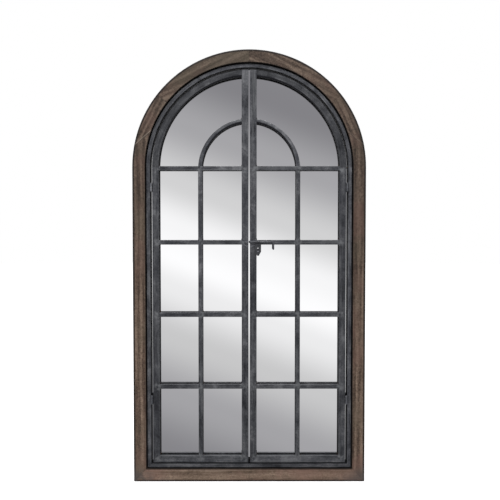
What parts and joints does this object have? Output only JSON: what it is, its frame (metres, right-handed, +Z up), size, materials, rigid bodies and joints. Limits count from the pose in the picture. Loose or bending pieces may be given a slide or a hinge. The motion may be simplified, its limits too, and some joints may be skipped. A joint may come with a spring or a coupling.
{
  "type": "window mirror",
  "caption": "Arched wall mirror in a timber frame, behind hinged steel lattice leaves that close with a slide bolt and a hasp.",
  "frame": {"origin": "middle of the base on the wall plane, at the foot of the timber's back face", "axes": "+Z up, +X to the viewer's right, +Y into the wall, so the front faces -Y"},
  "size_m": [0.812, 0.0476, 1.51],
  "materials": {
    "timber": "weathered grey-brown timber, lightly waxed",
    "dowel_wood": "plain hardwood",
    "blackened_steel": "blackened folded sheet steel, patchy and waxed",
    "leaf_steel": "blackened welded bar, patchy and waxed",
    "hinge_steel": "blackened steel, rubbed at the knuckles",
    "latch_steel": "blackened steel, rubbed bright along the rod",
    "mirror": "silvered float glass",
    "back_board": "raw fibre board",
    "hanger_plate": "zinc plated",
    "screws": "zinc plated"
  },
  "bodies": {
    "root": {"bottom_rail": "timber", "left_post": "timber", "right_post": "timber", "left_haunch": "timber", "right_haunch": "timber", "left_crown": "timber", "right_crown": "timber", "frame_dowels": "dowel_wood", "steel_sill": "blackened_steel", "left_jamb": "blackened_steel", "right_jamb": "blackened_steel", "steel_arch": "blackened_steel", "flange_screws": "screws", "door_stop": "blackened_steel", "mirror_glass": "mirror", "back_board": "back_board", "board_screws": "screws", "left_hanger": "hanger_plate", "right_hanger": "hanger_plate", "hanger_screws": "screws", "left_upper_frame_leaf": "hinge_steel", "left_lower_frame_leaf": "hinge_steel", "right_upper_frame_leaf": "hinge_steel", "right_lower_frame_leaf": "hinge_steel", "left_upper_hinge_pin": "hinge_steel", "left_lower_hinge_pin": "hinge_steel", "right_upper_hinge_pin": "hinge_steel", "right_lower_hinge_pin": "hinge_steel", "frame_leaf_rivets": "hinge_steel"},
    "left_door": {"left_hinge_stile": "leaf_steel", "left_meeting_stile": "leaf_steel", "left_arch_rail": "leaf_steel", "left_foot_rail": "leaf_steel", "left_upright_muntin": "leaf_steel", "left_cross_muntins": "leaf_steel", "left_arch_muntin": "leaf_steel", "left_upper_door_leaf": "hinge_steel", "left_lower_door_leaf": "hinge_steel", "left_leaf_rivets": "hinge_steel", "keeper": "latch_steel", "keeper_rivets": "latch_steel"},
    "right_door": {"right_hinge_stile": "leaf_steel", "right_meeting_stile": "leaf_steel", "right_arch_rail": "leaf_steel", "right_foot_rail": "leaf_steel", "right_upright_muntin": "leaf_steel", "right_cross_muntins": "leaf_steel", "right_arch_muntin": "leaf_steel", "right_upper_door_leaf": "hinge_steel", "right_lower_door_leaf": "hinge_steel", "right_leaf_rivets": "hinge_steel", "bolt_guide": "latch_steel", "muntin_guide": "latch_steel", "guide_rivets": "latch_steel"},
    "bolt": {"bolt_rod": "latch_steel", "bolt_collars": "latch_steel"},
    "hasp": {"hasp": "latch_steel", "hasp_stud": "latch_steel"}
  },
  "joints": [
    {"name": "left_door_hinge", "type": "hinge", "parent": "root", "child": "left_door", "pos_m": [-0.3415, -0.041, 0.662], "axis": [0, 0, -1], "range_deg": [0, 170]},
    {"name": "right_door_hinge", "type": "hinge", "parent": "root", "child": "right_door", "pos_m": [0.3415, -0.041, 0.662], "axis": [0, 0, 1], "range_deg": [0, 170]},
    {"name": "bolt_slide", "type": "slide", "parent": "right_door", "child": "bolt", "axis": [-1, 0, 0], "range_m": [-0.0055, 0.012]},
    {"name": "hasp_swing", "type": "hinge", "parent": "bolt", "child": "hasp", "pos_m": [0.031, -0.04216, 0.84425], "axis": [-1, 0, 0], "range_deg": [0, 120]}
  ]
}
